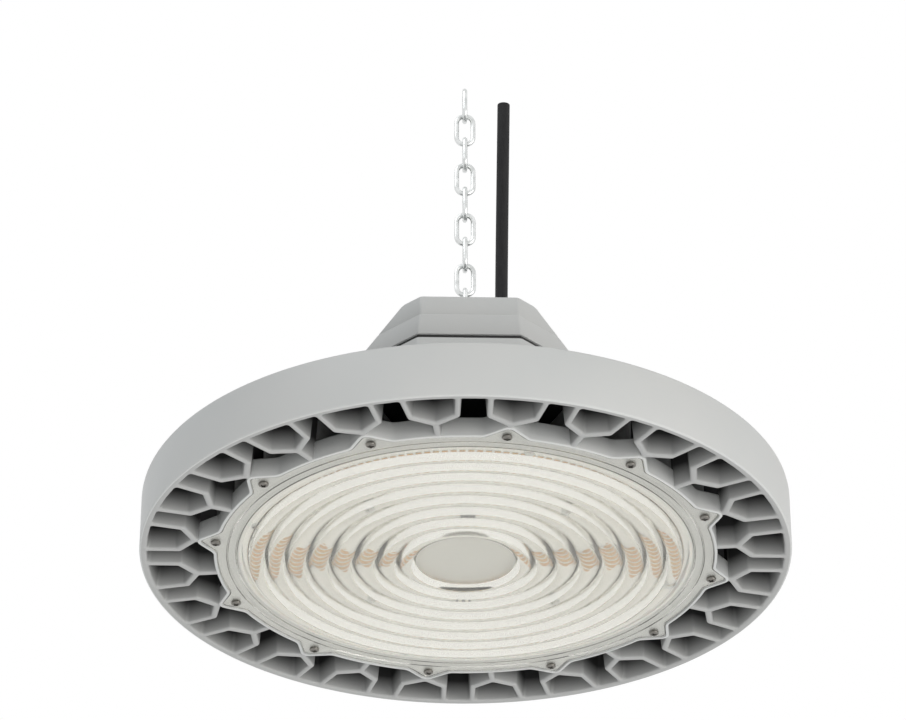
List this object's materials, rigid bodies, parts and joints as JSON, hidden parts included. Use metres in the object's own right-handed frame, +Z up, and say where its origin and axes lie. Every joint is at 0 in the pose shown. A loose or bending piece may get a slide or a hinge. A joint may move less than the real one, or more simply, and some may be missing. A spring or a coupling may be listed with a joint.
{
  "type": "high bay light",
  "caption": "Round ceiling light for high halls: ribbed clear lens over rings of LEDs, honeycomb die-cast heat sink, driver housing on top, hung on a steel chain.",
  "frame": {"origin": "the point inside the chain's top link where a hook bears, which is what the light hangs from", "axes": "+Z up along the chain, -Y towards the front end of the driver housing, +X to the right seen from the front"},
  "size_m": [0.365, 0.365, 0.324],
  "materials": {
    "silver_paint": "light grey polyester powder coat on die-cast aluminium",
    "clear_lens": "clear polycarbonate, glossy",
    "white_silicone": "translucent white silicone",
    "white_board": "aluminium board with white solder mask",
    "led_phosphor": "yellow phosphor in white packages",
    "grey_sheet": "soft thermal sheet",
    "black_plastic": "black moulded polyamide",
    "black_rubber": "black rubber",
    "driver_case": "potted driver in an aluminium case",
    "white_plastic": "white terminal plastic",
    "core_copper": "insulated copper cores",
    "lead_wire": "insulated lead wire",
    "black_cable": "matt black rubber sheath",
    "zinc_steel": "bright zinc plated steel",
    "connector": "dark connector body with plated contacts"
  },
  "bodies": {
    "root": {"base_gasket": "black_rubber", "base_screws": "zinc_steel", "board_connector_front": "connector", "board_connector_rear": "connector", "board_screws": "zinc_steel", "cable_cores": "core_copper", "chain_link_1": "zinc_steel", "chain_link_2": "zinc_steel", "chain_link_3": "zinc_steel", "chain_link_4": "zinc_steel", "chain_link_5": "zinc_steel", "chain_link_6": "zinc_steel", "chain_link_7": "zinc_steel", "chain_link_8": "zinc_steel", "chain_link_9": "zinc_steel", "cover_gasket": "black_rubber", "cover_screws": "zinc_steel", "driver_base": "silver_paint", "driver_cover": "silver_paint", "driver_screws": "zinc_steel", "eye_nut": "zinc_steel", "eye_washer": "zinc_steel", "gland_body": "black_plastic", "gland_locknut": "black_plastic", "gland_nut": "black_plastic", "gland_seal": "black_rubber", "gland_washer": "black_rubber", "heat_sink": "silver_paint", "lead_seals": "white_silicone", "led_board": "white_board", "led_driver": "driver_case", "led_leads_front": "lead_wire", "led_leads_rear": "lead_wire", "led_ring_1": "led_phosphor", "led_ring_2": "led_phosphor", "led_ring_3": "led_phosphor", "led_ring_4": "led_phosphor", "led_ring_5": "led_phosphor", "led_ring_6": "led_phosphor", "led_ring_7": "led_phosphor", "led_ring_8": "led_phosphor", "lens": "clear_lens", "lens_gasket": "white_silicone", "lens_screws": "zinc_steel", "power_cable": "black_cable", "shackle": "zinc_steel", "shackle_pin": "zinc_steel", "shield_screws": "zinc_steel", "spreader_plate": "zinc_steel", "suspension_eye": "zinc_steel", "terminal_block": "white_plastic", "thermal_sheet": "grey_sheet", "top_shield": "black_plastic"}
  },
  "joints": []
}
